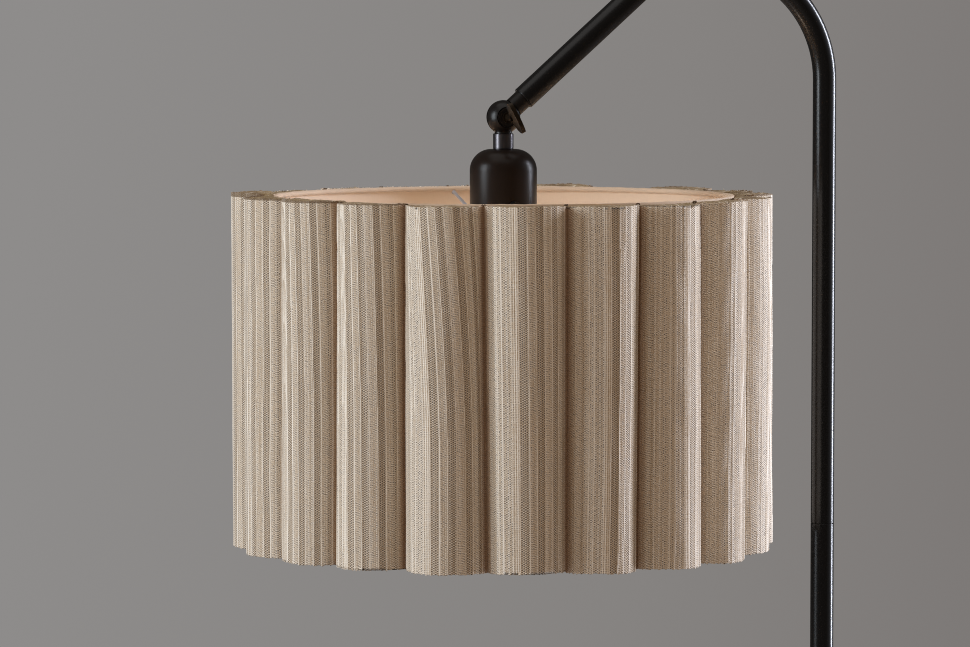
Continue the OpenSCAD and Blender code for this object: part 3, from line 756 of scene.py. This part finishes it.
def rim_tape():
    m1, m2 = 360, 12
    R0 = 181.5
    t = 2 * math.pi * np.arange(m1) / m1
    q = 2 * math.pi * np.arange(m2) / m2
    T, Q = np.meshgrid(t, q, indexing="ij")
    wr = 0.10 * np.sin(T * 97 + Q) + 0.08 * np.sin(T * 41 + 2 * Q)
    lap = 0.18 * (np.abs(((T - 1.1 + math.pi) % (2 * math.pi)) - math.pi) < 0.06)
    rr = R0 + (2.15 + wr + lap) * np.cos(Q)
    zz = RIM / MM - 1.9 + (2.1 + wr + lap) * np.sin(Q)
    P = np.stack([rr * np.cos(T), rr * np.sin(T), zz], -1).reshape(-1, 3) * MM + np.array([HX, HY, 0])
    n = Nodes("rim_tape")
    co = n.coord()
    w = n.noise(co, 1400, 3.0, 0.6)
    b = n.noise(co, 50, 3.0, 0.6)
    col = n.mix(w, srgb(196, 178, 158), srgb(222, 205, 186))
    col = n.mix(n.math("MULTIPLY", b, 0.4), col, srgb(186, 166, 146))
    n.set(Base_Color=col, Roughness=n.math("MULTIPLY_ADD", w, 0.1, 0.8), Normal=n.bump(w, 0.5, 0.0001))
    return mesh_object("rim_tape", P, grid_faces(m1, m2, True, True), n.m)


tape = rim_tape()
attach(tape, "head")

# ------------------------------------------------------------------ stage, light and camera
floor_mat = Nodes("floor")
co = floor_mat.coord()
fl = floor_mat.noise(co, 3.0, 4.0, 0.6)
floor_mat.set(Base_Color=floor_mat.mix(fl, srgb(156, 158, 162), srgb(166, 168, 172)), Roughness=0.8)
ring_n = 96
fv = [(0, 0, 0)] + [(4.5 * math.cos(2 * math.pi * i / ring_n), 4.5 * math.sin(2 * math.pi * i / ring_n), 0) for i in range(ring_n)]
ff = [(0, 1 + i, 1 + (i + 1) % ring_n) for i in range(ring_n)]
floor = mesh_object("floor", np.array(fv) - np.array([0, 0, 0.0002]), np.array(ff), floor_mat.m, False)

AZ = math.radians(-17.0)
CAM = dict(f=4520.0, D=3.600, h=0.1440, yaw=-0.232, pitch=3.92, roll=0.0)


def place_camera():
    W, H = 970, 647
    cam_d = bpy.data.cameras.new("camera")
    cam = bpy.data.objects.new("camera", cam_d)
    scene.collection.objects.link(cam)
    cam_d.sensor_width = 36.0
    cam_d.lens = CAM["f"] / W * 36.0
    cam_d.clip_start, cam_d.clip_end = 0.05, 200
    pos = Vector((HX + math.sin(AZ) * CAM["D"], HY - math.cos(AZ) * CAM["D"], RIM + CAM["h"]))
    fwd0 = Vector((-math.sin(AZ), math.cos(AZ), 0))
    right0 = Vector((math.cos(AZ), math.sin(AZ), 0))
    up0 = Vector((0, 0, 1))
    y, t, r = (math.radians(CAM[k]) for k in ("yaw", "pitch", "roll"))
    fw = fwd0 * math.cos(y) + right0 * math.sin(y)
    rt = right0 * math.cos(y) - fwd0 * math.sin(y)
    fw2 = fw * math.cos(t) - up0 * math.sin(t)
    up2 = up0 * math.cos(t) + fw * math.sin(t)
    rt3 = rt * math.cos(r) + up2 * math.sin(r)
    up3 = up2 * math.cos(r) - rt * math.sin(r)
    m = Matrix.Identity(4)
    for i, v in enumerate((rt3, up3, -fw2, pos)):
        for j in range(3):
            m[j][i] = v[j]
    cam.matrix_world = m
    scene.camera = cam
    return cam


place_camera()


def area(name, az, el, dist, size, power, color, target=(HX, HY, 1.42)):
    """Soft box at a bearing from the camera's side: az 0 is the camera, positive to its right."""
    a = AZ + math.radians(az)
    e = math.radians(el)
    tx, ty, tz = target
    pos = Vector((tx + math.sin(a) * math.cos(e) * dist, ty - math.cos(a) * math.cos(e) * dist, tz + math.sin(e) * dist))
    d = bpy.data.lights.new(name, "AREA")
    d.shape = "RECTANGLE"
    d.size, d.size_y = size
    d.energy = power
    d.color = color
    ob = bpy.data.objects.new(name, d)
    scene.collection.objects.link(ob)
    ob.location = pos
    ob.rotation_euler = (Vector(target) - pos).to_track_quat("-Z", "Y").to_euler()
    return ob


area("key_left", -70, 10, 2.6, (0.9, 1.7), 46.5, (0.875, 0.95, 1.02))
area("rim_right", 109, 6, 2.3, (0.22, 2.0), 74, (0.92, 0.965, 1.10))
area("top_soft", -10, 80, 2.6, (2.6, 2.6), 16, (1.0, 0.97, 0.95), target=(HX, HY, 1.2))

glow = bpy.data.lights.new("bulb_glow", "POINT")
glow.energy = 1.75
glow.color = (1.0, 0.76, 0.60)
glow.shadow_soft_size = 0.032
gl = bpy.data.objects.new("bulb_glow", glow)
scene.collection.objects.link(gl)
gl.location = (HX, HY, HZ - 0.161)


def studio_world():
    """Grey backdrop that falls off gently to one side; a dimmer, warmer room lights the object."""
    world = bpy.data.worlds.new("studio")
    scene.world = world
    world.use_nodes = True
    t = world.node_tree
    t.nodes.clear()
    out = t.nodes.new("ShaderNodeOutputWorld")
    mixs = t.nodes.new("ShaderNodeMixShader")
    seen, room = t.nodes.new("ShaderNodeBackground"), t.nodes.new("ShaderNodeBackground")
    path = t.nodes.new("ShaderNodeLightPath")
    co = t.nodes.new("ShaderNodeTexCoord")
    dot = t.nodes.new("ShaderNodeVectorMath")
    dot.operation = "DOT_PRODUCT"
    dot.inputs[1].default_value = (math.cos(AZ), math.sin(AZ), -0.10)
    rng_ = t.nodes.new("ShaderNodeMapRange")
    rng_.inputs["From Min"].default_value = -0.10
    rng_.inputs["From Max"].default_value = 0.125
    ramp = t.nodes.new("ShaderNodeValToRGB")
    e = ramp.color_ramp.elements
    e[0].position, e[0].color = 0.0, srgb(142, 140, 139)
    e[1].position, e[1].color = 1.0, srgb(124, 120, 118)
    mid = e.new(0.62)
    mid.color = srgb(134, 131, 129)
    t.links.new(co.outputs["Generated"], dot.inputs[0])
    t.links.new(dot.outputs["Value"], rng_.inputs[0])
    t.links.new(rng_.outputs[0], ramp.inputs[0])
    t.links.new(ramp.outputs[0], seen.inputs[0])
    dim = t.nodes.new("ShaderNodeMix")
    dim.data_type = "RGBA"
    dim.inputs[6].default_value = (0.365, 0.259, 0.175, 1)
    dim.inputs[7].default_value = (0.07, 0.066, 0.062, 1)
    t.links.new(path.outputs["Is Glossy Ray"], dim.inputs[0])
    t.links.new(dim.outputs[2], room.inputs[0])
    t.links.new(path.outputs["Is Camera Ray"], mixs.inputs[0])
    t.links.new(room.outputs[0], mixs.inputs[1])
    t.links.new(seen.outputs[0], mixs.inputs[2])
    t.links.new(mixs.outputs[0], out.inputs[0])
    world.cycles.sampling_method = "NONE"


studio_world()

scene.view_settings.view_transform = "Standard"
scene.view_settings.look = "None"
scene.view_settings.exposure = 0.0
# the weave is as fine as a pixel, so it is neither smoothed away nor spread by a wide filter
scene.cycles.filter_width = 1.0
scene.cycles.denoising_input_passes = "RGB_ALBEDO_NORMAL"
scene.cycles.denoising_prefilter = "NONE"
scene.cycles.sample_clamp_indirect = 1.5

# ------------------------------------------------------------------ final view layer update
bpy.context.view_layer.update()
